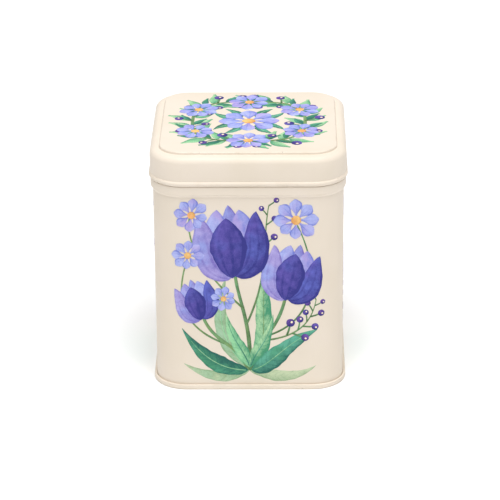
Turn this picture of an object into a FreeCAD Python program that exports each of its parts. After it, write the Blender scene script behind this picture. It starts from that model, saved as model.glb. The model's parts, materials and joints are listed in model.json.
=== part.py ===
"""Square spice tin with a slip-on lid, in thin tinplate.

Three pressed pieces: a seamed body wall, a base that is double-seamed to it, and a lid that lifts off.
Every piece is one sheet of the same tinplate, so each is a sheet profile carried round the tin's
rounded-square outline, and the lid and the base have a flat plate in the middle. Tight folds are
drawn sharp or bevelled, and the shoulder, the hem and the top of the base seam are rounded.

Frame: origin at the centre of the base on the table, +Z up, the side seam of the wall at the back (+Y).
Units are millimetres.
"""
import FreeCAD, Part
import math
import os

import Sketcher

Vector = FreeCAD.Vector

# Driving dimensions, as they are typed into the spreadsheet: alias, value, what it is.
SIZES = [
    ("side", "63.4", "width of the wall across its flat sides"),
    ("corner", "10.6", "outer radius of the wall's upright corners"),
    ("sheet", "0.25", "thickness of the tinplate"),
    ("fold_gap", "0.04", "space between folded layers of a seam"),
    ("bead_reach", "1.3", "how far the lid's hem stands out from the wall"),
    ("seam_reach", "0.95", "how far the base seam stands out from the wall"),
    ("tin_height", "85", "height of the closed tin"),
    ("seam_height", "1.8", "height of the base seam"),
    ("seam_round", "0.4", "radius along the top of the base seam"),
    ("foot_bevel", "0.35", "width of the bevel along the foot of the base seam"),
    ("hook_lap", "0.5", "how far the two hooks inside the base seam lap over each other"),
    ("base_recess", "1.4", "height of the base plate above the table"),
    ("flare_rise", "0.8", "height above the base seam at which the wall starts to draw in"),
    ("flare_height", "4.5", "height over which the wall draws in above the seam"),
    ("band_height", "3.9", "height of the swollen band under the lid, with its taper"),
    ("band_taper", "1", "height of the taper under the band"),
    ("band_reach", "0.75", "how far the band stands out from the wall"),
    ("rim_drop", "0.35", "space between the rim and the underside of the lid"),
    ("rim_hem", "1.5", "depth of the hem folded in round the rim"),
    ("lock_width", "3.4", "width of the side seam's folds"),
    ("lock_margin", "0.5", "flat wall on each side of the side seam's folds"),
    ("lock_low", "9", "height of the side seam's lower end"),
    ("lock_stop", "1", "space between the side seam's upper end and the band's taper"),
    ("lid_depth", "11.2", "height of the closed lid above the ledge it sits on"),
    ("seat_gap", "0.1", "space between the lid's hem and the ledge"),
    ("lid_play", "0.25", "space between the lid's hem and the neck"),
    ("hem_width", "1.9", "width of the lid's rolled hem"),
    ("hem_height", "1.9", "height of the lid's rolled hem"),
    ("hem_round", "0.9", "radius along the foot of the hem"),
    ("hem_reach", "0.45", "how far the hem stands out from the skirt"),
    ("shoulder", "2.2", "outer radius of the lid's shoulder"),
    ("shoulder_bevel", "1.35", "width of the bevel inside the shoulder"),
    ("panel_inset", "3.15", "distance from the skirt to the raised panel"),
    ("panel_rise", "1", "height of the raised panel above the shoulder"),
    ("panel_edge", "0.4", "width of the bevel round the raised panel"),
    ("plate_lap", "3", "width of the flat rim that the profiles give each plate"),
]


class Size:
    """A length that carries both its number and the spreadsheet expression that gives it."""

    def __init__(self, number, text):
        self.number = number
        self.text = text

    @staticmethod
    def of(other):
        return other if isinstance(other, Size) else Size(float(other), str(other))

    def _join(self, other, sign, number):
        return Size(number, f"({self.text} {sign} {Size.of(other).text})")

    def __add__(self, other):
        return self._join(other, "+", self.number + Size.of(other).number)

    def __sub__(self, other):
        return self._join(other, "-", self.number - Size.of(other).number)

    def __mul__(self, factor):
        return self._join(factor, "*", self.number * factor)

    def __truediv__(self, factor):
        return self._join(factor, "/", self.number / factor)

    def __neg__(self):
        return TABLE - self


TABLE = Size(0.0, "0")


def write_sheet(doc):
    """Types the driving dimensions into the spreadsheet and returns them as named sizes."""
    sheet = doc.addObject("Spreadsheet::Sheet", "Sizes")
    for row, (alias, value, note) in enumerate(SIZES, start=1):
        sheet.set(f"A{row}", alias)
        sheet.set(f"B{row}", value)
        sheet.set(f"C{row}", note)
        sheet.setAlias(f"B{row}", alias)
    doc.recompute()
    return {alias: Size(float(sheet.get(alias)), f"Sizes.{alias}") for alias, _, _ in SIZES}


# --- Sketches ---------------------------------------------------------------------------------

ORIGIN = (-1, 1)
START, END, CENTRE = 1, 2, 3


def new_sketch(body, role, name, height=None):
    """A sketch on one of the body's own origin planes, raised to a height where one is given."""
    plane = next(f for f in body.Origin.OriginFeatures if f.Role == role)
    sketch = body.newObject("Sketcher::SketchObject", name)
    sketch.AttachmentSupport = (plane, "")
    sketch.MapMode = "FlatFace"
    if height is not None:
        sketch.setExpression(".AttachmentOffset.Base.z", height.text)
    return sketch


def bind(sketch, kind, where, size):
    """Adds a driving dimension to a sketch and ties it to the spreadsheet."""
    index = sketch.addConstraint(Sketcher.Constraint(kind, *where, size.number))
    sketch.setExpression(f"Constraints[{index}]", size.text)


def place(sketch, point, x, y):
    """Holds one point of a sketch at given distances from its origin."""
    bind(sketch, "DistanceX", (*ORIGIN, *point), x)
    bind(sketch, "DistanceY", (*ORIGIN, *point), y)


def relate(sketch, kind, *where):
    sketch.addConstraint(Sketcher.Constraint(kind, *where))


class Corner:
    """A corner of an outline, sharp or, between two square sides, rounded to a radius."""

    def __init__(self, x, y, radius=None):
        self.x, self.y, self.radius = x, y, radius

    def point(self):
        return Vector(self.x.number, self.y.number, 0)


def outline(sketch, corners):
    """Draws a closed outline through its corners, with an arc at each rounded one."""
    count = len(corners)
    points = [corner.point() for corner in corners]
    ways = [(points[(i + 1) % count] - points[i]).normalize() for i in range(count)]
    arcs = [corner_arc(sketch, corners[i], ways[i - 1], ways[i]) for i in range(count)]
    lines = []
    for i in range(count):
        start = points[i] + ways[i] * reach(corners[i])
        end = points[(i + 1) % count] - ways[i] * reach(corners[(i + 1) % count])
        lines.append(sketch.addGeometry(Part.LineSegment(start, end)))
    for i in range(count):
        if arcs[i] is None:
            relate(sketch, "Coincident", lines[i - 1], END, lines[i], START)
            place(sketch, (lines[i], START), corners[i].x, corners[i].y)
        else:
            arc, enter, leave = arcs[i]
            relate(sketch, "Tangent", lines[i - 1], END, arc, enter)
            relate(sketch, "Tangent", arc, leave, lines[i], START)


def reach(corner):
    return corner.radius.number if corner.radius else 0.0


def corner_arc(sketch, corner, way_in, way_out):
    """The arc of a rounded corner, held by its centre and its radius, or None at a sharp one."""
    if corner.radius is None:
        return None
    radius = corner.radius
    inward = way_out - way_in
    centre = corner.point() + inward * radius.number
    start = corner.point() - way_in * radius.number - centre
    turns_left = way_in.cross(way_out).z > 0
    first = math.atan2(start.y, start.x) - (0 if turns_left else math.pi / 2)
    circle = Part.Circle(centre, Vector(0, 0, 1), radius.number)
    arc = sketch.addGeometry(Part.ArcOfCircle(circle, first, first + math.pi / 2))
    bind(sketch, "Radius", (arc,), radius)
    across = corner.x + radius if inward.x > 0 else corner.x - radius
    along = corner.y + radius if inward.y > 0 else corner.y - radius
    place(sketch, (arc, CENTRE), across, along)
    return (arc, START, END) if turns_left else (arc, END, START)


def rounded_square(sketch, half, radius):
    """A square outline about the origin, half wide each way, that starts at its +X side."""
    corners = [(half, -half), (half, half), (-half, half), (-half, -half)]
    outline(sketch, [Corner(x, y, radius) for x, y in corners])


# --- Features ---------------------------------------------------------------------------------


def new_piece(doc, size, label):
    """A body and the spine that its profile is carried along: the wall's outline at table level."""
    body = doc.addObject("PartDesign::Body", label)
    body.Label = label
    spine = new_sketch(body, "XY_Plane", "Outline")
    rounded_square(spine, size["side"] / 2, size["corner"])
    return body, spine


def carry_round(body, spine, corners, name):
    """Draws a section at the tin's +X side and carries it round the tin."""
    section = new_sketch(body, "XZ_Plane", name + "Section")
    outline(section, corners)
    pipe = body.newObject("PartDesign::AdditivePipe", name)
    pipe.Profile = (section, [""])
    pipe.Spine = (spine, [])


def raise_up(body, sketch, height, name):
    pad = body.newObject("PartDesign::Pad", name)
    pad.Profile = (sketch, [""])
    pad.setExpression("Length", height.text)


def plate(body, size, half, height, name):
    """A flat plate of sheet, concentric with the tin's outline, with its underside at a height."""
    edge = new_sketch(body, "XY_Plane", name + "Edge", height)
    rounded_square(edge, half, size["corner"] - (size["side"] / 2 - half))
    raise_up(body, edge, size["sheet"], name)


# --- Places that two pieces share --------------------------------------------------------------


def bead(size):
    """Half width of the tin over the lid's hem, its widest place."""
    return size["side"] / 2 + size["bead_reach"]


def seam_layers(size):
    """Outer faces of the base seam's upright layers, from the outside in."""
    pitch = size["sheet"] + size["fold_gap"]
    outer = size["side"] / 2 + size["seam_reach"]
    names = ("seaming_wall", "wall_hook", "base_hook", "wall", "chuck_wall")
    return {name: outer - pitch * i for i, name in enumerate(names)}


def hook_ends(size):
    """Upper end of the wall's hook and lower end of the base's hook, which lap over each other."""
    middle = size["seam_height"] / 2
    return middle + size["hook_lap"] / 2, middle - size["hook_lap"] / 2


def ledge(size):
    """Height of the ledge round the wall that the lid's hem sits on."""
    return size["tin_height"] - size["lid_depth"]


# --- The three pieces --------------------------------------------------------------------------


def body_wall(doc, size):
    """The wall, from its hook in the base seam up to the band, the ledge, the neck and the rim."""
    body, spine = new_piece(doc, size, "body_wall")
    sheet, gap = size["sheet"], size["fold_gap"]
    layers = seam_layers(size)
    hook, foot, half = layers["wall_hook"], layers["wall"], size["side"] / 2
    band = half + size["band_reach"]
    neck = bead(size) - size["hem_width"] - size["lid_play"]
    hem = neck - sheet - gap
    fold = sheet + gap
    hook_end, _ = hook_ends(size)
    flare = size["seam_height"] + size["flare_rise"]
    band_base = ledge(size) - size["band_height"]
    band_full = band_base + size["band_taper"]
    rim = size["tin_height"] - size["panel_rise"] - sheet - size["rim_drop"]
    outside = [
        Corner(hook - sheet, hook_end), Corner(hook - sheet, fold + sheet), Corner(foot, fold + sheet),
        Corner(foot, flare), Corner(half, flare + size["flare_height"]),
        Corner(half, band_base), Corner(band, band_full), Corner(band, ledge(size)),
        Corner(neck, ledge(size)), Corner(neck, rim), Corner(hem - sheet, rim),
    ]
    inside = [
        Corner(hem - sheet, rim - size["rim_hem"]), Corner(hem, rim - size["rim_hem"]),
        Corner(hem, rim - sheet), Corner(neck - sheet, rim - sheet),
        Corner(neck - sheet, ledge(size) - sheet), Corner(band - sheet, ledge(size) - sheet),
        Corner(band - sheet, band_full), Corner(half - sheet, band_base),
        Corner(half - sheet, flare + size["flare_height"]), Corner(foot - sheet, flare),
        Corner(foot - sheet, fold), Corner(hook, fold), Corner(hook, hook_end),
    ]
    carry_round(body, spine, outside + inside, "Wall")
    doc.recompute()
    side_seam(body, size, band_base - size["lock_stop"])
    return body


def side_seam(body, size, top):
    """The wall's own seam, up the middle of the back: its two edges hooked into each other."""
    sheet = size["sheet"]
    pitch = sheet + size["fold_gap"]
    height = top - size["lock_low"]
    outer = size["side"] / 2
    inner = outer - sheet
    right = size["lock_width"] / 2
    step = right + size["fold_gap"]
    window = step + size["lock_margin"]

    opening = new_sketch(body, "XY_Plane", "SeamWindow", top)
    rectangle(opening, -window, window, inner - sheet, outer + sheet)
    pocket = body.newObject("PartDesign::Pocket", "SeamOpening")
    pocket.Profile = (opening, [""])
    pocket.setExpression("Length", height.text)

    lapping = new_sketch(body, "XY_Plane", "LappingEdge", size["lock_low"])
    outline(lapping, [
        Corner(-window, outer), Corner(-window, inner), Corner(right - sheet, inner),
        Corner(right - sheet, inner - pitch * 2 + sheet), Corner(-right + pitch, inner - pitch * 2 + sheet),
        Corner(-right + pitch, inner - pitch * 2), Corner(right, inner - pitch * 2), Corner(right, outer),
    ])
    raise_up(body, lapping, height, "SeamLap")

    hooked = new_sketch(body, "XY_Plane", "HookedEdge", size["lock_low"])
    outline(hooked, [
        Corner(window, outer), Corner(step, outer), Corner(step, inner - pitch * 3 + sheet),
        Corner(-right + sheet, inner - pitch * 3 + sheet), Corner(-right + sheet, inner - pitch),
        Corner(right - pitch, inner - pitch), Corner(right - pitch, outer - pitch),
        Corner(-right, outer - pitch), Corner(-right, inner - pitch * 3),
        Corner(step + sheet, inner - pitch * 3), Corner(step + sheet, inner), Corner(window, inner),
    ])
    raise_up(body, hooked, height, "SideSeam")


def rectangle(sketch, left, right, low, high):
    outline(sketch, [Corner(left, low), Corner(right, low), Corner(right, high), Corner(left, high)])


def base_panel(doc, size):
    """The base: a recessed plate whose edge wraps under the wall's hook and closes over it."""
    body, spine = new_piece(doc, size, "base_panel")
    sheet, recess, top = size["sheet"], size["base_recess"], size["seam_height"]
    layers = seam_layers(size)
    outer, hook, chuck = layers["seaming_wall"], layers["base_hook"], layers["chuck_wall"]
    plate_edge = chuck - sheet - size["plate_lap"]
    _, hook_end = hook_ends(size)
    underside = [
        Corner(plate_edge, recess), Corner(chuck - sheet, recess), Corner(chuck - sheet, TABLE),
        Corner(outer - size["foot_bevel"], TABLE), Corner(outer, TABLE + size["foot_bevel"]),
        Corner(outer, top, size["seam_round"]), Corner(hook - sheet, top), Corner(hook - sheet, hook_end),
    ]
    upper_side = [
        Corner(hook, hook_end), Corner(hook, top - sheet), Corner(outer - sheet, top - sheet),
        Corner(outer - sheet, sheet), Corner(chuck, sheet), Corner(chuck, recess + sheet),
        Corner(plate_edge, recess + sheet),
    ]
    carry_round(body, spine, underside + upper_side, "BaseRim")
    plate(body, size, plate_edge, recess, "BasePlate")
    return body


def lid(doc, size):
    """The lid: a rolled hem, a skirt, a rounded shoulder, and a raised panel in the middle."""
    body, spine = new_piece(doc, size, "lid")
    sheet, bevel, top = size["sheet"], size["panel_edge"], size["tin_height"]
    foot = ledge(size) + size["seat_gap"]
    hem_top = foot + size["hem_height"]
    hem_inner = bead(size) - size["hem_width"]
    skirt = bead(size) - size["hem_reach"]
    margin = top - size["panel_rise"]
    panel = skirt - size["panel_inset"]
    plate_edge = panel - bevel - size["plate_lap"]
    outside = [
        Corner(hem_inner, hem_top), Corner(hem_inner, foot + size["hem_round"]),
        Corner(hem_inner + size["hem_round"], foot), Corner(bead(size), foot, size["hem_round"]),
        Corner(bead(size), hem_top - size["hem_reach"]), Corner(skirt, hem_top),
        Corner(skirt, margin, size["shoulder"]), Corner(panel, margin),
        Corner(panel, top - bevel), Corner(panel - bevel, top), Corner(plate_edge, top),
    ]
    inside = [
        Corner(plate_edge, top - sheet), Corner(panel - bevel, top - sheet),
        Corner(panel - sheet, top - bevel), Corner(panel - sheet, margin - sheet),
        Corner(skirt - sheet - size["shoulder_bevel"], margin - sheet),
        Corner(skirt - sheet, margin - sheet - size["shoulder_bevel"]), Corner(skirt - sheet, hem_top),
    ]
    carry_round(body, spine, outside + inside, "LidRim")
    plate(body, size, plate_edge, top - sheet, "LidPlate")
    return body


def check(doc, pieces):
    """Stops before anything is written if a feature failed or a piece isn't one closed solid."""
    doc.recompute()
    failed = [obj.Name for obj in doc.Objects if {"Invalid", "Error"} & set(obj.State)]
    if failed:
        raise RuntimeError(f"these objects failed: {failed}")
    for piece in pieces:
        shape = piece.Shape
        if shape.isNull() or not shape.isValid() or len(shape.Solids) != 1:
            raise RuntimeError(f"{piece.Label} is not one valid solid")


def main():
    doc = FreeCAD.newDocument("SpiceTin")
    size = write_sheet(doc)
    pieces = [body_wall(doc, size), base_panel(doc, size), lid(doc, size)]
    check(doc, pieces)
    os.makedirs("parts", exist_ok=True)
    for piece in pieces:
        piece.Shape.exportStep(os.path.join("parts", piece.Label + ".step"))
        box = piece.Shape.optimalBoundingBox(True, False)
        print(f"{piece.Label}: {box.XLength:.2f} x {box.YLength:.2f} x {box.ZLength:.2f} mm,"
              f" {piece.Shape.Volume:.1f} mm3, {len(piece.Shape.Faces)} faces")


main()
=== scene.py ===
"""Dresses the square spice tin: enamelled tinplate with rounded folds, printed with a posy of tulips.

Everything is in metres in the tin's own frame: origin under the middle of the base, +Z up, front at -Y.
"""

import json
import math
import random

import bmesh
import bpy
import numpy as np
from mathutils import Matrix, Vector

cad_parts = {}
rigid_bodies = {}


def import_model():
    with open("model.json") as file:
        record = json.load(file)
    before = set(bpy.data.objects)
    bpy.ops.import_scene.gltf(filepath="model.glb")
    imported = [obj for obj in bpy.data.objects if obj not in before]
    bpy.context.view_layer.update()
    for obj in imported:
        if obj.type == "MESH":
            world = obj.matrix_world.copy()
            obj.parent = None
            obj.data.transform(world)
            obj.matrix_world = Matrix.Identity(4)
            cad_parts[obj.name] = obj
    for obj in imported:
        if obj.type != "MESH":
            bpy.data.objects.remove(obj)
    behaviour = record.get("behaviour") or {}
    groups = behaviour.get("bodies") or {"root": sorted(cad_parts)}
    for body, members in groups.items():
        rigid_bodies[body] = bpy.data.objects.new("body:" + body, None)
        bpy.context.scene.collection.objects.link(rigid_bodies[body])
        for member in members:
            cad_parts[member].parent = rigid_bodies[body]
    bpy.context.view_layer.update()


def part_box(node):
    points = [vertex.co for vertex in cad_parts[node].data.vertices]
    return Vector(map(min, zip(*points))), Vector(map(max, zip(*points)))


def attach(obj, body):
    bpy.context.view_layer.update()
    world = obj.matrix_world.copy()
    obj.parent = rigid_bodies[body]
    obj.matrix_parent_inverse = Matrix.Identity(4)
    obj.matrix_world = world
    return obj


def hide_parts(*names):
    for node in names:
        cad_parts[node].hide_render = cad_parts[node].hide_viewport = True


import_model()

MM = 0.001

# --- Sizes of the tin ---
# The corners of the pressed pieces' boxes give the main levels; the rest are the folds between them.

BASE_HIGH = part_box("base_panel")[1]
WALL_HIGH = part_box("body_wall")[1]
LID_LOW, LID_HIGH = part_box("lid")

SHEET = 0.25 * MM
HALF = SHEET / 2                         # from the middle of the sheet to either face
BEAD = LID_HIGH.x                        # half width over the lid's hem
SEAM = BASE_HIGH.x                       # half width over the base seam
WALL = BEAD - 1.3 * MM                   # half width of the flat walls
CORNER = 10.6 * MM                       # radius of the upright corners
CORNER_STEPS = 24
FACET = math.pi / 2 / CORNER_STEPS       # turn of one facet of a corner
FLAT = WALL - CORNER                     # half width of the flat part of each side

SEAM_TOP = BASE_HIGH.z
FOLD_PITCH = SHEET + 0.04 * MM           # from one layer of a seam to the next
FOOT = SEAM - 3 * FOLD_PITCH             # half width over the wall's foot, inside the seam
RECESS = 1.4 * MM                        # underside of the base plate
FLARE_LOW = SEAM_TOP + 0.8 * MM
FLARE_HIGH = FLARE_LOW + 4.5 * MM

TIN_TOP = LID_HIGH.z
LEDGE = LID_LOW.z - 0.05 * MM
BAND_REACH = 0.75 * MM
BAND_LOW = LEDGE - 3.9 * MM
BAND_HIGH = LEDGE - 2.9 * MM
NECK = BEAD - 2.15 * MM
RIM_TOP = WALL_HIGH.z

HEM = 1.9 * MM                           # width and height of the lid's curled hem
SKIRT = BEAD - 0.45 * MM
SHOULDER = 2.2 * MM
PANEL = SKIRT - 3.15 * MM
PANEL_RISE = 1.0 * MM
PANEL_TOP = TIN_TOP - 0.08 * MM          # leaves the print its thickness
PLATE_LAP = 3.0 * MM                     # flat rim between a fold and the plate it carries

LAP = 1.72 * MM                          # where the wall's edge laps over, beside the back's middle
LAP_GAP = 0.12 * MM
LOCK_LEFT = 3.42 * MM                    # how far the lock seam's folds reach from the lap, to -X and +X
LOCK_RIGHT = 0.27 * MM
LOCK_LOW = 9.0 * MM
LOCK_HIGH = BAND_LOW - 1.0 * MM

BEND_STEP = math.radians(9)              # turn from one point of a bend to the next
FOLDED = 0.14 * MM                       # radius of a sheet folded over, at its middle
PRESSED = 0.3 * MM                       # radius of a sharp pressed bend


def srgb(code):
    """Linear colour of a six-figure hex code."""
    values = [int(code[i:i + 2], 16) / 255 for i in (0, 2, 4)]
    return tuple(v / 12.92 if v <= 0.04045 else ((v + 0.055) / 1.055) ** 2.4 for v in values)


CREAM = srgb("E7DBCC")
CREAM_SHADE = srgb("E3D7C6")
SATIN = {"Coat_Weight": 0.05, "Coat_Roughness": 0.3, "Specular_IOR_Level": 0.22}

# --- Building nodes ---


class Nodes:
    """Short calls for building a node tree: add a node with its settings and inputs, join sockets."""

    def __init__(self, tree):
        self.tree = tree

    def add(self, kind, inputs=None, **settings):
        node = self.tree.nodes.new(kind)
        for name, value in settings.items():
            setattr(node, name, value)
        for name, value in (inputs or {}).items():
            self.feed(next(s for s in node.inputs if s.name == name and s.enabled), value)
        return node

    def feed(self, socket, value):
        if isinstance(value, bpy.types.NodeSocket):
            self.tree.links.new(value, socket)
        else:
            socket.default_value = value

    def math(self, operation, *values):
        node = self.add("ShaderNodeMath", operation=operation)
        for socket, value in zip(node.inputs, values):
            self.feed(socket, value)
        return node.outputs[0]


def stored(nodes, name):
    """A number that is kept on the geometry under a name."""
    return nodes.add("GeometryNodeInputNamedAttribute", {"Name": name}, data_type="FLOAT").outputs[0]


def new_tree(name, inputs):
    """A geometry tree with the given named inputs; returns it, its nodes and its input sockets."""
    tree = bpy.data.node_groups.new(name, "GeometryNodeTree")
    tree.interface.new_socket("Geometry", in_out="INPUT", socket_type="NodeSocketGeometry")
    for label, kind in inputs:
        tree.interface.new_socket(label, in_out="INPUT", socket_type="NodeSocket" + kind)
    tree.interface.new_socket("Geometry", in_out="OUTPUT", socket_type="NodeSocketGeometry")
    nodes = Nodes(tree)
    return tree, nodes, nodes.add("NodeGroupInput").outputs


def end_tree(nodes, geometry, material, mark=None, marked_material=None):
    """Makes the instances real, gives them their material and sends them out. Faces whose attribute
    `mark` is 1 get a material of their own."""
    real = nodes.add("GeometryNodeRealizeInstances", {"Geometry": geometry})
    finish = nodes.add("GeometryNodeSetMaterial", {"Geometry": real.outputs[0], "Material": material})
    if mark:
        marked = nodes.math("GREATER_THAN", stored(nodes, mark), 0.9)
        finish = nodes.add("GeometryNodeSetMaterial", {
            "Geometry": finish.outputs[0], "Selection": marked, "Material": marked_material})
    nodes.add("NodeGroupOutput", {"Geometry": finish.outputs[0]})


def grow(source, tree, values):
    """Runs a geometry tree on an object and returns the result as a plain mesh."""
    modifier = source.modifiers.new("grow", "NODES")
    modifier.node_group = tree
    for item in tree.interface.items_tree:
        if item.in_out == "INPUT" and item.name in values:
            modifier[item.identifier] = values[item.name]
    source.update_tag()
    bpy.context.view_layer.update()
    mesh = bpy.data.meshes.new_from_object(source.evaluated_get(bpy.context.evaluated_depsgraph_get()))
    source.modifiers.remove(modifier)
    return mesh


def new_mesh(name, points, edges=(), faces=(), values=None):
    """A mesh, with named lists of numbers kept on its points."""
    mesh = bpy.data.meshes.new(name)
    mesh.from_pydata(list(points), list(edges), list(faces))
    for label, numbers in (values or {}).items():
        mesh.attributes.new(label, "FLOAT", "POINT").data.foreach_set("value", numbers)
    return mesh


def new_object(name, data):
    obj = bpy.data.objects.new(name, data)
    bpy.context.scene.collection.objects.link(obj)
    return obj


def helper(mesh):
    """An object that only feeds geometry trees; clear_helpers takes it away again."""
    return new_object("helper_" + mesh.name, mesh)


def clear_helpers():
    for obj in [o for o in bpy.data.objects if o.name.startswith("helper_")]:
        bpy.data.objects.remove(obj)


def piece(name, mesh, body):
    """Puts a finished mesh in the scene as a piece that moves with a body."""
    mesh.name = name
    obj = new_object(name, mesh)
    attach(obj, body)
    return obj


# --- Finishes ---


def new_finish(name):
    material = bpy.data.materials.new(name)
    material.use_nodes = True
    material.node_tree.nodes.clear()
    nodes = Nodes(material.node_tree)
    place = nodes.add("ShaderNodeTexCoord").outputs["Object"]
    return material, nodes, place


def on_surface(nodes, label):
    """A number that the mesh carries under a label."""
    return nodes.add("ShaderNodeAttribute", attribute_name=label, attribute_type="GEOMETRY").outputs["Fac"]


def noise(nodes, place, size, detail=3.0, roughness=0.5, stretch=None):
    """Noise with blobs about as large as the given size in metres."""
    if stretch:
        place = nodes.add("ShaderNodeMapping", {"Vector": place, "Scale": stretch}).outputs[0]
    node = nodes.add("ShaderNodeTexNoise", {
        "Vector": place, "Scale": 1 / size, "Detail": detail, "Roughness": roughness})
    return node.outputs["Fac"]


def spread(nodes, value, low, high, to_low=0.0, to_high=1.0):
    return nodes.add("ShaderNodeMapRange", {
        "Value": value, "From Min": low, "From Max": high, "To Min": to_low, "To Max": to_high}).outputs[0]


def mix(nodes, share, first, second):
    node = nodes.add("ShaderNodeMix", data_type="RGBA")
    for index, value in ((0, share), (6, first), (7, second)):
        if isinstance(value, tuple):
            value = (*value, 1.0)
        nodes.feed(node.inputs[index], value)
    return node.outputs[2]


def bump(nodes, height, depth, **more):
    return nodes.add("ShaderNodeBump", {"Height": height, "Distance": depth, **more}).outputs[0]


def end_finish(nodes, colour, roughness, normal, **constants):
    shader = nodes.add("ShaderNodeBsdfPrincipled", {
        "Base Color": colour, "Roughness": roughness, "Normal": normal})
    for name, value in constants.items():
        shader.inputs[name.replace("_", " ")].default_value = value
    nodes.add("ShaderNodeOutputMaterial", {"Surface": shader.outputs[0]})


def enamel_colour(nodes, place):
    """Cream stoving enamel, cloudy by a hair. On proud folds it has worn thin in short runs, with a few
    chips down to the tin; the hollow ones are darkened by painted shade and a little dust."""
    cloud = spread(nodes, noise(nodes, place, 18 * MM, 2.0), 0.35, 0.65)
    colour = mix(nodes, cloud, CREAM, CREAM_SHADE)
    fold = on_surface(nodes, "fold")
    proud, hollow = spread(nodes, fold, 0.3, 0.9), spread(nodes, fold, -0.9, -0.3, 1.0, 0.0)
    runs = spread(nodes, noise(nodes, place, 5 * MM, 5.0, 0.6), 0.48, 0.62)
    chips = spread(nodes, noise(nodes, place, 1.1 * MM, 3.0), 0.69, 0.72)
    # Hollow folds darken in patches: painted shade in the crease, with a little dust.
    dust_and_shade = spread(nodes, noise(nodes, place, 3 * MM, 4.0), 0.35, 0.7, 0.0, 0.14)
    colour = mix(nodes, nodes.math("MULTIPLY", hollow, dust_and_shade), colour, srgb("BBAA90"))
    thin = nodes.math("MULTIPLY", nodes.math("MULTIPLY", proud, runs), 0.3)
    colour = mix(nodes, thin, colour, srgb("C9BCA6"))
    bare = nodes.math("MULTIPLY", nodes.math("MULTIPLY", proud, chips), 0.5)
    return mix(nodes, bare, colour, srgb("9C968C"))


def enamel_skin(nodes, place):
    """Roughness and relief of the enamel: satin, with a slight orange peel over the rolled sheet."""
    rough = spread(nodes, noise(nodes, place, 7 * MM, 4.0), 0.3, 0.7, 0.46, 0.56)
    peel = noise(nodes, place, 0.9 * MM, 2.0)
    sheet_wave = noise(nodes, place, 14 * MM, 1.0)
    return rough, bump(nodes, peel, 0.006 * MM, Normal=bump(nodes, sheet_wave, 0.03 * MM))


def enamel():
    material, nodes, place = new_finish("cream_enamel")
    rough, relief = enamel_skin(nodes, place)
    end_finish(nodes, enamel_colour(nodes, place), rough, relief, **SATIN)
    return material


def tinplate():
    """Bare tinplate inside: rolled grain along the sheet, dull patches and a few hairline scratches."""
    material, nodes, place = new_finish("bare_tinplate")
    grain = noise(nodes, place, 1 * MM, 4.0, 0.6, (0.06, 0.06, 4.0))
    patch = noise(nodes, place, 11 * MM, 3.0)
    colour = mix(nodes, spread(nodes, patch, 0.35, 0.7), srgb("E3E2DD"), srgb("CBCAC5"))
    colour = mix(nodes, spread(nodes, grain, 0.6, 0.75, 0.0, 0.35), colour, srgb("A9A7A1"))
    rough = spread(nodes, nodes.math("ADD", grain, patch), 0.7, 1.3, 0.22, 0.42)
    end_finish(nodes, colour, rough, bump(nodes, grain, 0.01 * MM, Strength=0.6), Metallic=1.0)
    return material


ENAMEL = enamel()
TINPLATE = tinplate()

# --- Pressed sheet ---


def rounded_line(corners):
    """A line through corners (x, z, bend radius) with an arc at each bend."""
    points = [Vector(corner[:2]) for corner in corners]
    line = [points[0]]
    for here, before, after, corner in zip(points[1:-1], points, points[2:], corners[1:-1]):
        way_in = (here - before).normalized()
        way_out = (after - here).normalized()
        turn = way_in.angle_signed(way_out)
        radius = corner[2]
        side = 1 if turn < 0 else -1
        trim = radius * math.tan(abs(turn) / 2)
        start = here - way_in * trim
        centre = start + Vector((-way_in.y, way_in.x)) * radius * side
        count = max(1, math.ceil(abs(turn) / BEND_STEP))
        for i in range(count + 1):
            spin = Matrix.Rotation(side * abs(turn) * i / count, 2)
            line.append(centre + spin @ (start - centre))
    return line + [points[-1]]


def both_faces(line):
    """The two faces of a sheet whose middle follows the line: (left face, right face)."""
    left, right = [], []
    for i, point in enumerate(line):
        before = line[i] - line[i - 1] if i else line[1] - line[0]
        after = line[i + 1] - line[i] if i + 1 < len(line) else before
        way = (before.normalized() + after.normalized()).normalized()
        side = Vector((-way.y, way.x)) * HALF
        left.append(point + side)
        right.append(point - side)
    return left, right


def fold_sharpness(line):
    """How sharply the line turns at each of its points: 1 for a fold of 0.6 mm radius or less. It is
    positive where the fold stands proud on the painted face."""
    sharpness = [0.0]
    for before, here, after in zip(line, line[1:], line[2:]):
        way_in, way_out = here - before, after - here
        turn = math.asin(max(-1.0, min(1.0, way_in.normalized().cross(way_out.normalized()))))
        per_metre = 2 * turn / (way_in.length + way_out.length)
        sharpness.append(max(-1.0, min(1.0, per_metre * 0.6 * MM)))
    return sharpness + [0.0]


def chain(count, closed):
    """Edges that join a row of points one after the other."""
    edges = [(i, i + 1) for i in range(count - 1)]
    return edges + [(count - 1, 0)] if closed else edges


def sheet_section(name, corners, has_plate_at=None):
    """Helper with the section of a folded sheet, measured out from the wall. Its painted face is on the
    right of the line. Where a plate is to be joined, at "start" or "end", the section stays open."""
    line = rounded_line(corners)
    left, right = both_faces(line)
    fold = fold_sharpness(line)
    rows = [(p, 1.0, -f) for p, f in zip(left, fold)] + [(p, 0.0, f) for p, f in zip(right, fold)][::-1]
    if has_plate_at == "end":
        rows = rows[len(left):] + rows[:len(left)]
    points = [(p.x - WALL, -p.y, 0.0) for p, _, _ in rows]
    values = {"bare": [bare for _, bare, _ in rows], "fold": [fold for _, _, fold in rows]}
    return helper(new_mesh(name, points, chain(len(points), not has_plate_at), values=values))


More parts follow.
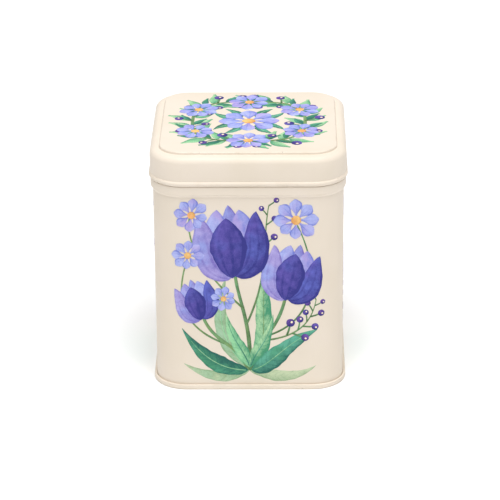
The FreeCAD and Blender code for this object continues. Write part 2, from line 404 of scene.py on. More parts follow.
def tin_outline(gap=None):
    """Helper with the wall's outline seen from above, closed, or open where the wall's edges meet."""
    points = []
    for quarter in range(4):
        spin = Matrix.Rotation(quarter * math.pi / 2, 2)
        for i in range(CORNER_STEPS + 1):
            angle = i * FACET
            points.append(spin @ Vector((FLAT + CORNER * math.cos(angle), FLAT + CORNER * math.sin(angle))))
    if gap:
        points = [Vector((LAP - gap, WALL))] + points[CORNER_STEPS + 1:] + points[:CORNER_STEPS + 1]
        points.append(Vector((LAP, WALL)))
    return helper(new_mesh("outline", [(*p, 0.0) for p in points], chain(len(points), not gap)))


def sheet_round_tin_tree():
    """Carries a sheet's section round the tin, and gives its two faces their finishes."""
    tree, nodes, given = new_tree("sheet_round_tin", [
        ("Section", "Object"), ("Painted Finish", "Material"), ("Bare Finish", "Material")])
    path = nodes.add("GeometryNodeMeshToCurve", {"Mesh": given["Geometry"]})
    upright = nodes.add("GeometryNodeSetCurveNormal", {"Curve": path.outputs[0]}, mode="Z_UP")
    section = nodes.add("GeometryNodeObjectInfo", {"Object": given["Section"]})
    profile = nodes.add("GeometryNodeMeshToCurve", {"Mesh": section.outputs["Geometry"]})
    swept = nodes.add("GeometryNodeCurveToMesh", {
        "Curve": upright.outputs[0], "Profile Curve": profile.outputs[0], "Fill Caps": True})
    end_tree(nodes, swept.outputs[0], given["Painted Finish"], "bare", given["Bare Finish"])
    return tree


SHEET_ROUND_TIN = sheet_round_tin_tree()


def pressed_piece(name, section, outline, body, plates=False):
    """One pressed piece of the tin, from its section, with flat plates filled in where it has them."""
    mesh = grow(outline, SHEET_ROUND_TIN, {
        "Section": section, "Painted Finish": ENAMEL, "Bare Finish": TINPLATE})
    if plates:
        fill_plates(mesh)
    smooth(mesh)
    return piece(name, mesh, body)


def fill_plates(mesh):
    """Closes the two open loops of a piece with flat plates: the painted one and the bare one."""
    work = bmesh.new()
    work.from_mesh(mesh)
    rim = [edge for edge in work.edges if edge.is_boundary]
    for face in bmesh.ops.holes_fill(work, edges=rim, sides=0)["faces"]:
        neighbour = next(f for e in face.edges for f in e.link_faces if f is not face)
        face.material_index = neighbour.material_index
    bmesh.ops.recalc_face_normals(work, faces=work.faces)
    work.to_mesh(mesh)
    work.free()


def smooth(mesh):
    mesh.polygons.foreach_set("use_smooth", [True] * len(mesh.polygons))
    mesh.set_sharp_from_angle(angle=math.radians(35))


def make_wall():
    """The wall: hook, flare, flat, band, ledge, neck and a rim hemmed inwards, with its lap at the back."""
    hook, foot = SEAM - FOLD_PITCH - HALF, FOOT - HALF
    flat, band, neck = WALL - HALF, WALL + BAND_REACH - HALF, NECK - HALF
    low, hook_edge = FOLD_PITCH + HALF, 1.15 * MM
    rim, hem_edge = RIM_TOP - HALF, RIM_TOP - HALF - 1.4 * MM
    flare_foot, flare_top, swage = 6 * MM, 9 * MM, 0.8 * MM
    section = sheet_section("wall_section", [
        (hook, hook_edge, 0), (hook, low, FOLDED), (foot, low, FOLDED),
        (foot, FLARE_LOW, flare_foot), (flat, FLARE_HIGH, flare_top),
        (flat, BAND_LOW, swage), (band, BAND_HIGH, swage), (band, LEDGE - HALF, FOLDED),
        (neck, LEDGE - HALF, PRESSED), (neck, rim, FOLDED),
        (neck - FOLD_PITCH, rim, FOLDED), (neck - FOLD_PITCH, hem_edge, 0),
    ])
    wall = pressed_piece("wall", section, tin_outline(LAP_GAP), "tin")
    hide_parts("body_wall")


def make_side_seam():
    """The folds of the wall's lock seam, which stand inside the back wall as a flat rib."""
    back = WALL - SHEET * 0.6             # sunk into the wall's sheet
    deep = WALL - SHEET - 3 * FOLD_PITCH
    left, right = LAP - LOCK_LEFT, LAP + LOCK_RIGHT
    rounding = 0.22 * MM
    line = rounded_line([
        (left, back, 0), (left, deep, rounding), (right, deep, rounding), (right, back, 0)])
    count = len(line)
    points = [(p.x, p.y, z) for z in (LOCK_LOW, LOCK_HIGH) for p in line]
    faces = [(i, (i + 1) % count, (i + 1) % count + count, i + count) for i in range(count)]
    faces += [tuple(range(count))[::-1], tuple(range(count, 2 * count))]
    mesh = new_mesh("side_seam", points, faces=faces)
    mesh.materials.append(TINPLATE)
    smooth(mesh)
    piece("side_seam", mesh, "tin")


def make_base():
    """The base: recessed plate, chuck wall, foot, seaming wall, and the fold over the wall's hook."""
    outer, hook, chuck = (SEAM - layer * FOLD_PITCH - HALF for layer in (0, 2, 4))
    plate, top, hook_edge = RECESS + HALF, SEAM_TOP - HALF, 0.65 * MM
    plate_bend, foot_bend, seam_bend = 0.5 * MM, 0.4 * MM, 0.285 * MM
    section = sheet_section("base_section", [
        (chuck - PLATE_LAP, plate, 0), (chuck, plate, plate_bend),
        (chuck, HALF, PRESSED), (outer, HALF, foot_bend),
        (outer, top, seam_bend), (hook, top, seam_bend), (hook, hook_edge, 0),
    ], has_plate_at="start")
    base = pressed_piece("base", section, tin_outline(), "tin", plates=True)
    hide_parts("base_panel")


def make_lid():
    """The lid: curled hem, skirt, rounded shoulder, and a raised panel with a soft edge."""
    curl = HEM / 2 - HALF
    middle, low, high = LID_LOW.z + HEM / 2, LID_LOW.z + HALF, LID_LOW.z + HEM - HALF
    inner, outer = BEAD - HEM + HALF, BEAD - HALF
    skirt, panel = SKIRT - HALF, PANEL - HALF
    margin, top = TIN_TOP - PANEL_RISE - HALF, PANEL_TOP - HALF
    curl_edge = (inner + 1.05 * MM, high - 0.1 * MM, 0)
    curl_top = (inner + 0.15 * MM, high, 0.5 * MM)
    curl_shut = (outer, middle + 0.457 * MM, curl)
    under_skirt = (skirt, middle + 0.74 * MM, 0.1 * MM)
    panel_edge = (panel - 0.05 * MM, top, 0.38 * MM)
    section = sheet_section("lid_section", [
        curl_edge, curl_top, (inner, low, curl), (outer, low, curl), curl_shut, under_skirt,
        (skirt, margin, SHOULDER - HALF), (panel, margin, PRESSED), panel_edge,
        (panel - PLATE_LAP, top, 0),
    ], has_plate_at="end")
    lid = pressed_piece("lid_cover", section, tin_outline(), "lid", plates=True)
    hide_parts("lid")


make_wall()
make_side_seam()
make_base()
make_lid()
clear_helpers()

# --- Printing inks ---


def veins_along(nodes, along, across, blur):
    """Brush marks that run the length of a petal and fade towards its tip."""
    wave = nodes.math("SINE", nodes.math("MULTIPLY_ADD", across, 9.5, blur))
    marks = spread(nodes, wave, 0.35, 1.0)
    return nodes.math("MULTIPLY", marks, spread(nodes, along, 0.5, 0.92, 1.0, 0.0))


def veins_feathered(nodes, along, across, blur):
    """Side veins that leave a leaf's rib at a slant."""
    slant = nodes.math("MULTIPLY_ADD", nodes.math("ABSOLUTE", across), -1.3, blur)
    wave = nodes.math("PINGPONG", nodes.math("MULTIPLY_ADD", along, 11.0, slant), 0.5)
    return spread(nodes, wave, 0.0, 0.17, 1.0, 0.0)


def ink(name, light, stain, dark, split, veins=None):
    """A wash of printed colour. It pools along the edge and at the foot of each stroke, takes up a
    second colour in soft patches, differs from stroke to stroke, and is grained like thin paint."""
    material, nodes, place = new_finish(name)
    along, across, tone = (on_surface(nodes, label) for label in ("along", "across", "tone"))
    wash = noise(nodes, place, 2.6 * MM, 3.0, 0.6)
    strength = spread(nodes, wash, 0.3, 0.7, 0.05, 0.65)
    strength = nodes.math("MULTIPLY_ADD", across, split, strength)
    strength = nodes.math("MULTIPLY_ADD", tone, 0.2, strength)
    foot = spread(nodes, along, 0.0, 0.5, 0.35, 0.0)
    pooled = spread(nodes, nodes.math("ABSOLUTE", across), 0.7, 1.0, 0.0, 0.4)
    strength = nodes.math("ADD", strength, nodes.math("ADD", foot, pooled))
    if veins:
        blur = spread(nodes, noise(nodes, place, 1.8 * MM), 0.2, 0.8, -0.3, 0.3)
        strength = nodes.math("MULTIPLY_ADD", veins(nodes, along, across, blur), 0.28, strength)
    grain = spread(nodes, noise(nodes, place, 0.3 * MM, 2.0), 0.35, 0.7, -0.14, 0.14)
    share = spread(nodes, nodes.math("ADD", strength, grain), 0.0, 1.0)
    bleed = nodes.math("MULTIPLY_ADD", tone, 0.12, noise(nodes, place, 7 * MM, 2.0))
    pale = mix(nodes, spread(nodes, bleed, 0.4, 0.62), srgb(light), srgb(stain))
    colour = mix(nodes, share, pale, srgb(dark))
    rough, relief = enamel_skin(nodes, place)
    end_finish(nodes, colour, rough, relief, **SATIN)
    return material


WASHES = {                               # light, stain, dark, how much darker to the right, veins
    "indigo": ("5F68C2", "6658B2", "323284", 0.25, veins_along),
    "violet": ("B5ABE2", "9CA8E6", "776ABA", 0.25, veins_along),
    "periwinkle": ("B2BAEE", "B9A7DE", "6D7ACE", 0.25, veins_along),
    "leaf": ("96D29F", "B7DDAC", "46946F", 0.4, veins_feathered),
    "pine": ("5FAC92", "4D9C74", "246459", 0.4, veins_feathered),
    "sage": ("C2D0AC", "A8CDAC", "88A67E", 0.3, veins_feathered),
    "stem": ("82A268", "6FA374", "46693F", 0.2),
    "ochre": ("F6CB82", "F2B070", "C27A34", 0.1),
    "berry": ("5A5BBE", "7B57AE", "2F2A74", 0.35),
    "pale": ("FFF4DE", "FFF4DE", "F3D9A8", 0.1),
}
INKS = {name: ink(name + "_ink", *wash) for name, wash in WASHES.items()}
INK_ORDER = list(INKS)

# --- Drawing the print ---
# Artwork is drawn flat, in millimetres, with u to the right and v up. Each stroke is a thin slab of ink
# whose back is sunk a little below the enamel. Strokes that cross lie on levels of their own.

INK_BACK = -0.03
INK_FIRST = 0.026
INK_STEP = 0.002
LEAVES, STALKS, BERRIES, HEADS, FLOWERS = 0, 18, 22, 27, 33     # lowest level of each kind of stroke
LEAST_HALF = 0.05                        # half width below which no stroke narrows
INNER_REACH = 0.8                        # share of a bend's radius that a stroke's inner side may take


def bend(*points):
    """A curve through space from the first point to the last, drawn towards those between (Bezier)."""
    points = [Vector(p) for p in points]

    def at(share):
        level = points
        while len(level) > 1:
            level = [a.lerp(b, share) for a, b in zip(level, level[1:])]
        return level[0]
    return at


def as_drawn(path):
    return path


def posy_place(shift, stretch):
    """Moves what is drawn along the strip and stretches it sideways, or mirrors it if that is negative."""
    return lambda path: lambda t: Vector((shift + stretch * path(t).x, path(t).y))


def later(path, start):
    """The rest of a path, from a share of it onwards."""
    return lambda t: path(start + (1 - start) * t)


def leaf_width(half):
    return lambda t: half * math.sin(math.pi * t ** 0.75) ** 0.85


def petal_width(half, fullest=0.6):
    power = math.log(0.5) / math.log(fullest)
    return lambda t: half * math.sin(math.pi * t ** power) ** 0.75


def stroke_width(start, end):
    return lambda t: start + (end - start) * t


def round_width(radius):
    return lambda t: radius * math.sqrt(max(0.0, 1 - (2 * t - 1) ** 2))


def curvature(path, share, step=0.02):
    """How tightly a path turns left, as one over the radius."""
    middle = min(1 - step, max(step, share))
    before, after = path(middle) - path(middle - step), path(middle + step) - path(middle)
    return 2 * before.normalized().cross(after.normalized()) / (before.length + after.length)


def slab_faces(steps, across):
    """Faces of a closed slab whose points run row by row over its front, then over its back."""
    row = across + 1
    count = (steps + 1) * row
    front = [(i * row + j, i * row + j + 1, (i + 1) * row + j + 1, (i + 1) * row + j)
             for i in range(steps) for j in range(across)]
    foot = list(range(row))
    right = [i * row + across for i in range(1, steps + 1)]
    tip = [steps * row + j for j in range(across - 1, -1, -1)]
    left = [i * row for i in range(steps - 1, 0, -1)]
    rim = foot + right + tip + left
    sides = [(a, a + count, b + count, b) for a, b in zip(rim, rim[1:] + rim[:1])]
    return front + [tuple(n + count for n in face[::-1]) for face in front] + sides


class Artwork:
    """Strokes of ink drawn flat, gathered into one mesh. `place` moves and mirrors what is drawn next."""

    def __init__(self, name):
        self.name = name
        self.random = random.Random(name)
        self.points, self.faces, self.inks = [], [], []
        self.values = {"along": [], "across": [], "tone": []}
        self.place = as_drawn

    def stroke(self, path, width, ink_name, level, steps=14, across=4, wobble=0.05):
        """One stroke that follows a path, as wide to each side as `width` says at each share of it."""
        path = self.place(path)
        tone = self.random.uniform(-1, 1)
        phase = self.random.uniform(0, 6)
        lift = INK_FIRST + level * INK_STEP
        first = len(self.points)
        for height in (lift, INK_BACK):
            for i in range(steps + 1):
                share = i / steps
                here = path(share)
                way = (path(min(1, share + 0.01)) - path(max(0, share - 0.01))).normalized()
                side = Vector((way.y, -way.x))
                curl = curvature(path, share)
                ripple = 1 + wobble * (math.sin(9 * share + phase) + 0.6 * math.sin(19 * share + 2 * phase)
                                       + 0.5 * math.sin(43 * share + 3 * phase))
                half = max(LEAST_HALF, width(share) * ripple)
                for j in range(across + 1):
                    place = 2 * j / across - 1
                    inner = max(0.0, -place * curl)
                    reach = place * min(half, INNER_REACH * abs(place) / inner if inner else half)
                    self.points.append((*(here + side * reach), height))
                    for label, value in (("along", share), ("across", place), ("tone", tone)):
                        self.values[label].append(value)
        faces = slab_faces(steps, across)
        self.faces += [tuple(first + n for n in face) for face in faces]
        self.inks += [INK_ORDER.index(ink_name)] * len(faces)

    def disc(self, centre, radius, ink_name, level, steps=8):
        top, low = Vector((centre[0], centre[1] + radius)), Vector((centre[0], centre[1] - radius))
        self.stroke(bend(low, top), round_width(radius), ink_name, level, steps, wobble=0.02)

    def mesh(self):
        mesh = new_mesh(self.name, self.points, faces=self.faces, values=self.values)
        for ink_name in INK_ORDER:
            mesh.materials.append(INKS[ink_name])
        mesh.polygons.foreach_set("material_index", self.inks)
        return mesh


def tulip(art, foot, height, tilt):
    """A tulip's head seen from the side: three pale petals behind, a violet one and an indigo one at the
    sides, and an indigo one in front."""
    spin = Matrix.Rotation(math.radians(tilt), 2)

    def petal(points, half, fullest, ink_name, level, across=4):
        points = [Vector(foot) + spin @ (Vector(p) * height) for p in points]
        width = petal_width(half * height, fullest)
        art.stroke(bend(*points), width, ink_name, level, steps=26, across=across, wobble=0.035)

    petal([(0, 0.1), (0.05, 0.5), (0.02, 1.03)], 0.13, 0.6, "violet", HEADS)
    petal([(-0.04, 0.1), (-0.24, 0.5), (-0.15, 0.98)], 0.17, 0.6, "periwinkle", HEADS + 1)
    petal([(0.04, 0.1), (0.24, 0.5), (0.17, 0.95)], 0.17, 0.6, "periwinkle", HEADS + 2)
    petal([(-0.02, 0), (-0.52, 0.12), (-0.3, 0.62), (-0.45, 0.92)], 0.185, 0.42, "violet", HEADS + 3,
          across=6)
    petal([(0.02, 0), (0.52, 0.12), (0.32, 0.6), (0.42, 0.9)], 0.18, 0.42, "indigo", HEADS + 4, across=6)
    petal([(-0.03, -0.02), (-0.05, 0.5), (-0.03, 0.85)], 0.24, 0.45, "indigo", HEADS + 5, across=6)


def leaf(art, path, half, ink_name, level, rib=None):
    art.stroke(path, leaf_width(half), ink_name, level, steps=44, across=6, wobble=0.06)
    if rib:
        art.stroke(lambda t: path(0.04 + 0.82 * t), stroke_width(0.24, 0.08), rib, level + 1,
                   steps=22, across=2)


# --- Motifs that repeat ---


def along_z(nodes, value):
    """A vector with the value along the axis that points out of the print."""
    return nodes.add("ShaderNodeCombineXYZ", {"X": 0.0, "Y": 0.0, "Z": value}).outputs[0]


def turn_of(nodes, way, lean):
    """Rotation in the print that points +v along a direction, and leans it by an angle more."""
    parts = nodes.add("ShaderNodeSeparateXYZ", {"Vector": way})
    angle = nodes.math("ARCTAN2", parts.outputs["Y"], parts.outputs["X"])
    angle = nodes.math("SUBTRACT", angle, math.pi / 2)
    return along_z(nodes, nodes.math("ADD", angle, lean))


def flat_scale(nodes, size):
    return nodes.add("ShaderNodeCombineXYZ", {"X": size, "Y": size, "Z": 1.0}).outputs[0]


def by_turns(nodes, count):
    """0, 1 and so on up to count - 1 in turn, from one instance to the next."""
    return nodes.math("MODULO", nodes.add("GeometryNodeInputIndex").outputs[0], float(count))


def random_value(nodes, low, high, seed):
    return nodes.add("FunctionNodeRandomValue", {"Min": low, "Max": high, "Seed": seed},
                     data_type="FLOAT").outputs[1]


def on_levels(nodes, instances, levels):
    """Lifts the instances to different levels in turn, so that those which cross don't coincide."""
    rise = nodes.math("MULTIPLY", by_turns(nodes, levels), INK_STEP)
    return nodes.add("GeometryNodeTranslateInstances", {
        "Instances": instances, "Translation": along_z(nodes, rise)}).outputs[0]


def with_tone(nodes, instances, seed):
    """Gives each instance a tone of its own for the inks, and makes the instances real."""
    toned = nodes.add("GeometryNodeStoreNamedAttribute", {
        "Geometry": instances, "Name": "tone", "Value": random_value(nodes, -1.0, 1.0, seed)},
        data_type="FLOAT", domain="INSTANCE")
    return nodes.add("GeometryNodeRealizeInstances", {"Geometry": toned.outputs[0]}).outputs[0]


def daisies_tree():
    """A ring of petals round an eye, put at each point with that point's size and turn."""
    tree, nodes, given = new_tree("daisies", [
        ("Petal", "Object"), ("Eye", "Object"), ("Petals", "Int"), ("Seed", "Int"),
        ("Petal Finish", "Material"), ("Eye Finish", "Material")])
    ring = nodes.add("GeometryNodeMeshCircle", {"Vertices": given["Petals"], "Radius": 0.1})
    petal = nodes.add("GeometryNodeObjectInfo", {"Object": given["Petal"]}).outputs["Geometry"]
    place = nodes.add("GeometryNodeInputPosition").outputs[0]
    petals = nodes.add("GeometryNodeInstanceOnPoints", {
        "Points": ring.outputs[0], "Instance": petal,
        "Rotation": turn_of(nodes, place, random_value(nodes, -0.07, 0.07, given["Seed"])),
        "Scale": flat_scale(nodes, random_value(nodes, 0.86, 1.06, given["Seed"]))})
    petals = with_tone(nodes, on_levels(nodes, petals.outputs[0], 3), given["Seed"])
    eye = nodes.add("GeometryNodeObjectInfo", {"Object": given["Eye"]}).outputs["Geometry"]
    eye = nodes.add("GeometryNodeStoreNamedAttribute", {"Geometry": eye, "Name": "eye", "Value": 1.0},
                    data_type="FLOAT", domain="POINT")
    flower = nodes.add("GeometryNodeJoinGeometry")
    nodes.feed(flower.inputs[0], eye.outputs[0])
    nodes.feed(flower.inputs[0], petals)
    flowers = nodes.add("GeometryNodeInstanceOnPoints", {
        "Points": given["Geometry"], "Instance": flower.outputs[0],
        "Rotation": along_z(nodes, stored(nodes, "turn")),
        "Scale": flat_scale(nodes, stored(nodes, "size"))})
    end_tree(nodes, flowers.outputs[0], given["Petal Finish"], "eye", given["Eye Finish"])
    return tree


def sprigs_tree():
    """Leaflets or berries to the left and right of each stem in turn, smaller towards its tip."""
    tree, nodes, given = new_tree("sprigs", [
        ("Leaflet", "Object"), ("Count", "Int"), ("Spread", "Float"), ("Foot Size", "Float"),
        ("Tip Size", "Float"), ("Seed", "Int"), ("Finish", "Material")])
    stems = nodes.add("GeometryNodeMeshToCurve", {"Mesh": given["Geometry"]})
    marks = nodes.add("GeometryNodeResampleCurve", {"Curve": stems.outputs[0], "Count": given["Count"]})
    side = nodes.math("MULTIPLY_ADD", by_turns(nodes, 2), 2.0, -1.0)
    angle = nodes.math("MULTIPLY", side, given["Spread"])
    angle = nodes.math("ADD", angle, random_value(nodes, -0.12, 0.12, given["Seed"]))
    share = nodes.add("GeometryNodeSplineParameter").outputs["Factor"]
    size = nodes.math("MULTIPLY_ADD", share, nodes.math("SUBTRACT", given["Tip Size"], given["Foot Size"]),
                      given["Foot Size"])
    size = nodes.math("MULTIPLY", size, random_value(nodes, 0.85, 1.1, given["Seed"]))
    leaflet = nodes.add("GeometryNodeObjectInfo", {"Object": given["Leaflet"]}).outputs["Geometry"]
    way = nodes.add("GeometryNodeInputTangent").outputs[0]
    leaflets = nodes.add("GeometryNodeInstanceOnPoints", {
        "Points": marks.outputs[0], "Instance": leaflet,
        "Rotation": turn_of(nodes, way, angle), "Scale": flat_scale(nodes, size)})
    raised = on_levels(nodes, leaflets.outputs[0], 4)
    end_tree(nodes, with_tone(nodes, raised, given["Seed"]), given["Finish"])
    return tree


DAISIES = daisies_tree()
SPRIGS = sprigs_tree()


def motif(name, draw):
    """A helper object that holds one drawn motif, for the trees to repeat."""
    art = Artwork(name)
    draw(art)
    return helper(art.mesh())


DAISY_PETAL = motif("daisy_petal", lambda art: art.stroke(
    bend((0, 0.14), (0.03, 0.6), (0, 1)), petal_width(0.31, 0.64), "periwinkle", FLOWERS, 12, 4, 0.05))
DAISY_EYE = motif("daisy_eye", lambda art: art.disc((0, 0), 0.25, "ochre", FLOWERS + 3))
LEAFLET = motif("leaflet", lambda art: art.stroke(
    bend((0, 0.1), (0.12, 0.5), (0, 1)), leaf_width(0.19), "leaf", LEAVES + 4, 10, 4, 0.05))
DARK_LEAFLET = motif("dark_leaflet", lambda art: art.stroke(
    bend((0, 0.1), (-0.1, 0.5), (0, 1)), leaf_width(0.15), "pine", LEAVES + 9, 10, 4, 0.05))
BERRY_STALK = motif("berry_stalk", lambda art: art.stroke(
    bend((0, 0), (0.05, 0.5), (0, 0.8)), stroke_width(0.07, 0.05), "stem", STALKS, 4, 2))
BERRY = motif("berry", lambda art: art.disc((0, 0.95), 0.28, "berry", BERRIES))
BERRY_LIGHT = motif("berry_light", lambda art: art.disc((0.06, 1.02), 0.07, "pale", BERRIES + 4, steps=4))
BERRY_PARTS = (("berry_stalks", BERRY_STALK, "stem"), ("berries", BERRY, "berry"),
               ("berry_lights", BERRY_LIGHT, "pale"))


def daisies(flowers):
    """Daisies at the given places (u, v, radius), each turned a little further, as one flat mesh."""
    points = [(u, v, 0) for u, v, _ in flowers]
    values = {"size": [size for _, _, size in flowers],
              "turn": [0.7 * i for i in range(len(flowers))]}
    return grow(helper(new_mesh("daisies", points, values=values)), DAISIES, {
        "Petal": DAISY_PETAL, "Eye": DAISY_EYE, "Petals": 8, "Seed": 3,
        "Petal Finish": INKS["periwinkle"], "Eye Finish": INKS["ochre"]})


def stem_lines(paths):
    """The stems' paths as a helper of polylines, for the sprigs tree."""
    points, edges, steps = [], [], 24
    for path in paths:
        first = len(points)
        points += [(*path(i / steps), 0) for i in range(steps + 1)]
        edges += [(first + i, first + i + 1) for i in range(steps)]
    return helper(new_mesh("stems", points, edges))


def sprigs(paths, leaflet, finish, count, spread_angle, sizes, seed=5):
    """Leaflets or berries along the paths, from a foot size to a tip size, as one flat mesh."""
    return grow(stem_lines(paths), SPRIGS, {
        "Leaflet": leaflet, "Count": count, "Spread": math.radians(spread_angle),
        "Foot Size": sizes[0], "Tip Size": sizes[1], "Seed": seed, "Finish": INKS[finish]})


# --- Laying the print on the tin ---

PITCH = 2 * FLAT + CORNER * math.pi / 2  # from the middle of one side to the middle of the next
SIDE_STEP = PITCH / MM
CUT_SNAP = 1e-5                          # a cut takes corners nearer than this, in millimetres
PRINT_BED = PANEL_TOP + 0.005 * MM       # face of the lowest stroke on the lid


def read_points(mesh):
    flat = np.empty(len(mesh.vertices) * 3, dtype=np.float32)
    mesh.vertices.foreach_get("co", flat)
    return flat.reshape(-1, 3).astype(float) * MM


def write_points(mesh, points):
    mesh.vertices.foreach_set("co", points.astype(np.float32).ravel())
    mesh.polygons.foreach_set("use_smooth", [False] * len(mesh.polygons))
    mesh.update()


def cut_at_folds(mesh):
    """Cuts flat artwork along the wall's facets at the corners and along the top of its flare, so that
    all strokes bend on the same lines and none dips under another. Edges and corners are gathered in
    order, so that the mesh comes out the same each time."""
    work = bmesh.new()
    work.from_mesh(mesh)
    facet = CORNER * FACET / MM
    for corner in range(-2, 2):
        start = (corner * PITCH + FLAT) / MM
        end = start + CORNER_STEPS * facet
        faces = [f for f in work.faces
                 if max(v.co.x for v in f.verts) > start and min(v.co.x for v in f.verts) < end]
        edges = dict.fromkeys(e for f in faces for e in f.edges)
        corners = dict.fromkeys(v for f in faces for v in f.verts)
        geometry = [*faces, *edges, *corners]
        for i in range(CORNER_STEPS + 1):
            fold = (start + i * facet, 0, 0)
            geometry = bmesh.ops.bisect_plane(
                work, geom=geometry, dist=CUT_SNAP, plane_co=fold, plane_no=(1, 0, 0))["geom"]
    everything = work.verts[:] + work.edges[:] + work.faces[:]
    bmesh.ops.bisect_plane(work, geom=everything, dist=CUT_SNAP,
                           plane_co=(0, FLARE_HIGH / MM, 0), plane_no=(0, 1, 0))
    work.to_mesh(mesh)
    work.free()


def lay_on_wall(mesh):
    """Wraps flat artwork round the wall. u runs round the outline from the middle of the front."""
    cut_at_folds(mesh)
    u, v, lift = read_points(mesh).T
    side = np.round(u / PITCH)
    from_middle = u - side * PITCH
    facets = np.maximum(np.abs(from_middle) - FLAT, 0) / CORNER / FACET
    first = np.floor(facets + 1e-4)
    share = np.maximum(facets - first, 0)
    sine = (1 - share) * np.sin(first * FACET) + share * np.sin((first + 1) * FACET)
    cosine = (1 - share) * np.cos(first * FACET) + share * np.cos((first + 1) * FACET)
    flare = (FOOT - WALL) * np.clip((FLARE_HIGH - v) / (FLARE_HIGH - FLARE_LOW), 0, 1)
    reach = CORNER + lift + flare
    x = np.sign(from_middle) * (np.minimum(np.abs(from_middle), FLAT) + reach * sine)
    y = -(FLAT + reach * cosine)
    angle = side * math.pi / 2
    write_points(mesh, np.stack([
        x * np.cos(angle) - y * np.sin(angle), x * np.sin(angle) + y * np.cos(angle), v], axis=1))


def print_on_wall(name, mesh):
    lay_on_wall(mesh)
    piece(name, mesh, "tin")


def print_on_lid(name, mesh):
    u, v, lift = read_points(mesh).T
    write_points(mesh, np.stack([u, v, PRINT_BED + lift - INK_FIRST * MM], axis=1))
    piece(name, mesh, "lid")


# --- The wall's print ---


POSY_TULIPS = [((-5.2, 41.5), 25, 6), ((14.2, 33), 20, -13), ((-17.5, 26), 14.5, 17)]  # foot, height, tilt
POSY_STEMS = [                           # the tulips' three, then the daisies'
    bend((0, 6.8), (1.5, 24), (-4.6, 34), (-5, 43)),
    bend((0.6, 7), (1.5, 18), (11, 20), (13.8, 35)),
    bend((-0.5, 7), (-3, 17), (-13, 16), (-17.2, 27)),
    bend((7, 19.8), (27, 26), (25.5, 46), (18, 60)),
    bend((-8.3, 16.6), (-30, 24), (-25.5, 40), (-22, 49.5)),
    bend((-2.2, 30), (-9, 36), (-24, 50), (-21.5, 63)),
]
POSY_FLOWERS = [(17.6, 61.8, 6.6), (-22.4, 49.2, 4.8), (-20.8, 63.6, 5.2), (-9.4, 33.4, 3.9)]
POSY_SPRAYS = [bend((-0.9, 24), (8, 42), (5, 54), (7.6, 67)), bend((5.6, 18), (15, 19), (23, 22), (25, 33))]
POSY_LEAVES = [                          # path, half width, ink, the rib's ink, level; four are behind
    (bend((0, 7), (-8, 3.4), (-16, 4), (-24.5, 9.4)), 1.9, "sage", None, 0),
    (bend((0, 7), (9, 4.6), (17, 3), (25, 8.6)), 1.9, "sage", None, 1),
    (bend((0.8, 8), (9, 18), (3, 31), (7.2, 46)), 2.9, "leaf", "stem", 2),
    (bend((-0.6, 8), (-10, 16), (-13, 28), (-8.4, 41)), 2.6, "sage", "leaf", 4),
    (bend((-0.4, 7), (-9, 7), (-17, 10), (-25, 22.5)), 3.0, "pine", "leaf", 10),
    (bend((0.8, 7), (8, 8), (13, 17), (25.5, 22)), 3.4, "pine", "leaf", 12),
    (bend((0.2, 8), (-2, 15), (-7, 18), (-8.5, 28)), 2.2, "leaf", "pine", 14),
    (bend((0.3, 8), (2.5, 15), (7.5, 17), (9, 27.5)), 2.1, "leaf", "pine", 16),
]
SIDE_POSY = SIDE_STEP + 1                # set back a little, so that none of it shows from the front
POSY_PLACES = [posy_place(0, 0.9), posy_place(SIDE_POSY, -0.76), posy_place(-SIDE_POSY, -0.76)]


def posy(art):
    """The posy on the front and the sides: three tulips on arching stems that rise from a fan of leaves."""
    for path, half, ink_name, rib, level in POSY_LEAVES[:4]:
        leaf(art, path, half, ink_name, LEAVES + level, rib)
    for number, path in enumerate(POSY_STEMS):
        width = stroke_width(0.7, 0.5) if number < 3 else stroke_width(0.34, 0.22)
        art.stroke(path, width, "stem", LEAVES + 6 + number % 3, steps=30, across=2)
    for path, half, ink_name, rib, level in POSY_LEAVES[4:]:
        leaf(art, path, half, ink_name, LEAVES + level, rib)
    for path in POSY_SPRAYS:
        art.stroke(path, stroke_width(0.34, 0.16), "stem", LEAVES + 9, steps=26, across=2)
    for foot, height, tilt in POSY_TULIPS:
        tulip(art, foot, height, tilt)


def garland(middle, height, sway):
    """A wavy stem from the foot of the wall to near its top."""
    return bend((middle, 6.5), (middle - sway, 20), (middle + 2 * sway, 38),
                (middle - sway * 0.8, height - 8), (middle, height))


BACK = 2 * SIDE_STEP
GARLANDS = [garland(BACK - 14.5, 52, 3), garland(14.5 - BACK, 52, -3)]
GARLAND_FLOWERS = ((0.26, -1), (0.5, 1), (0.76, -1))   # share of the stem, side


def garlands(art):
    """The back's two garlands, one each side of the wall's seam, with a tulip on top."""
    for path in GARLANDS:
        foot = path(0)
        art.stroke(path, stroke_width(0.62, 0.4), "stem", LEAVES + 9, steps=40, across=2)
        for level, lean, half, ink_name in ((10, -1, 2.5, "pine"), (12, 1, 2.3, "leaf")):
            tips = [foot + Vector(tip) for tip in ((2 * lean, 8), (6 * lean, 7), (9.5 * lean, 16))]
            leaf(art, bend(foot, *tips), half, ink_name, LEAVES + level, "stem")
        tulip(art, path(1), 15, 0)


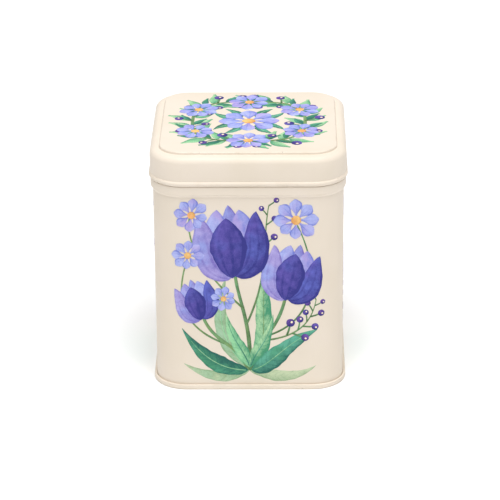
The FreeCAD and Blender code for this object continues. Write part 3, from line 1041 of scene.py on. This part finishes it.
def make_wall_print():
    art = Artwork("wall_flowers")
    for place in POSY_PLACES:
        art.place = place
        posy(art)
    art.place = as_drawn
    garlands(art)
    print_on_wall("printed_tulips_and_leaves", art.mesh())
    flowers = []
    for place in POSY_PLACES:
        for u, v, size in POSY_FLOWERS:
            flowers.append((*place(bend((u, v)))(0), size))
    for path in GARLANDS:
        for share, side in GARLAND_FLOWERS:
            flowers.append((*(path(share) + Vector((side * 4.6, 1.5))), 4.6))
    print_on_wall("printed_daisies", daisies(flowers))
    tops = [place(later(path, 0.32)) for place in POSY_PLACES for path in POSY_SPRAYS]
    for name, part, finish in BERRY_PARTS:
        berries = sprigs(tops, part, finish, count=9, spread_angle=48, sizes=(5.2, 3.2))
        print_on_wall("printed_" + name, berries)
    stems = [later(path, 0.2) for path in GARLANDS]
    leaflets = sprigs(stems, LEAFLET, "leaf", count=17, spread_angle=50, sizes=(8.5, 5.5))
    print_on_wall("printed_leaflets", leaflets)


# --- The lid's print ---


def wreath_half(mirror):
    """Half of the wreath's ring, a circle drawn out a little towards the lid's corners."""
    def at(t):
        angle = math.radians(-88 + 176 * t)
        x, y = math.cos(angle), math.sin(angle)
        ring = 19.0 / (abs(x) ** 3 + abs(y) ** 3) ** (1 / 3)
        return Vector((mirror * ring * x, ring * y))
    return at


WREATH = [wreath_half(1), wreath_half(-1)]
WREATH_DAISIES = [(0, 0, 9.0), (0, -18.6, 6.4), (0, 18.6, 6.4), (17.8, -9.6, 5.8), (-17.8, -9.6, 5.8),
                  (17.2, 11.2, 6.0), (-17.2, 11.2, 6.0)]


def make_lid_print():
    art = Artwork("wreath")
    for level, path in enumerate(WREATH):
        art.stroke(path, stroke_width(0.6, 0.5), "stem", LEAVES + 14 + level, steps=60, across=2)
    for quarter in range(4):
        spin = Matrix.Rotation(math.radians(45 + 90 * quarter), 2)
        for level, lean in enumerate((-1, 1)):
            path = bend(*[spin @ Vector((lean * x, y)) for x, y in ((1, 4.5), (3.8, 8.5), (2.6, 14.2))])
            leaf(art, path, 1.6, "pine", LEAVES + 2 * level, "leaf")
    print_on_lid("wreath_stems", art.mesh())
    leaves = sprigs(WREATH, LEAFLET, "leaf", count=21, spread_angle=50, sizes=(9.6, 9.0))
    print_on_lid("wreath_leaves", leaves)
    leaves = sprigs(WREATH, DARK_LEAFLET, "pine", count=17, spread_angle=38, sizes=(8.6, 8.0), seed=11)
    print_on_lid("wreath_dark_leaves", leaves)
    for name, part, finish in BERRY_PARTS:
        berries = sprigs(WREATH, part, finish, count=13, spread_angle=62, sizes=(5.8, 5.8), seed=8)
        print_on_lid("wreath_" + name, berries)
    print_on_lid("wreath_daisies", daisies(WREATH_DAISIES))


make_wall_print()
make_lid_print()
clear_helpers()

# --- Studio ---


def make_floor():
    reach = 3.0
    corners = [(-reach, -reach, 0), (reach, -reach, 0), (reach, reach, 0), (-reach, reach, 0)]
    mesh = new_mesh("floor", corners, faces=[(0, 1, 2, 3)])
    material, nodes, place = new_finish("white_paper")
    tone = mix(nodes, noise(nodes, place, 90 * MM, 2.0), (0.97, 0.97, 0.97), (0.99, 0.99, 0.99))
    end_finish(nodes, tone, 0.9, bump(nodes, noise(nodes, place, 1 * MM), 0.01 * MM))
    mesh.materials.append(material)
    floor = new_object("floor", mesh)


def make_lights():
    """A white room with one broad soft light overhead, a little to the front."""
    world = bpy.data.worlds.new("studio")
    world.use_nodes = True
    world.node_tree.nodes["Background"].inputs["Color"].default_value = (1, 1, 1, 1)
    world.node_tree.nodes["Background"].inputs["Strength"].default_value = 0.42
    bpy.context.scene.world = world
    bpy.context.scene.view_settings.view_transform = "Standard"
    light = bpy.data.lights.new("overhead", "AREA")
    light.size = 1.6
    light.energy = 58.0
    overhead = new_object("overhead", light)
    overhead.location = (0.06, -0.6, 2.3)
    way = Vector((0, 0, TIN_TOP / 2)) - overhead.location
    overhead.rotation_euler = way.to_track_quat("-Z", "Y").to_euler()


def make_camera():
    """A long lens a little above the tin, square to its front."""
    rise, turn, roll = math.radians(23.3), math.radians(1.0), math.radians(-0.5)
    distance = 0.836
    aim = Vector((0, 0, 0.0375))
    away = Vector((math.sin(turn) * math.cos(rise), -math.cos(turn) * math.cos(rise), math.sin(rise)))
    data = bpy.data.cameras.new("camera")
    data.sensor_width = 36.0
    data.lens = 174.2
    camera = new_object("camera", data)
    camera.location = aim + away * distance
    look = (-away).to_track_quat("-Z", "Y").to_matrix().to_4x4()
    camera.rotation_euler = (look @ Matrix.Rotation(roll, 4, "Z")).to_euler()
    bpy.context.scene.camera = camera


make_floor()
make_lights()
make_camera()
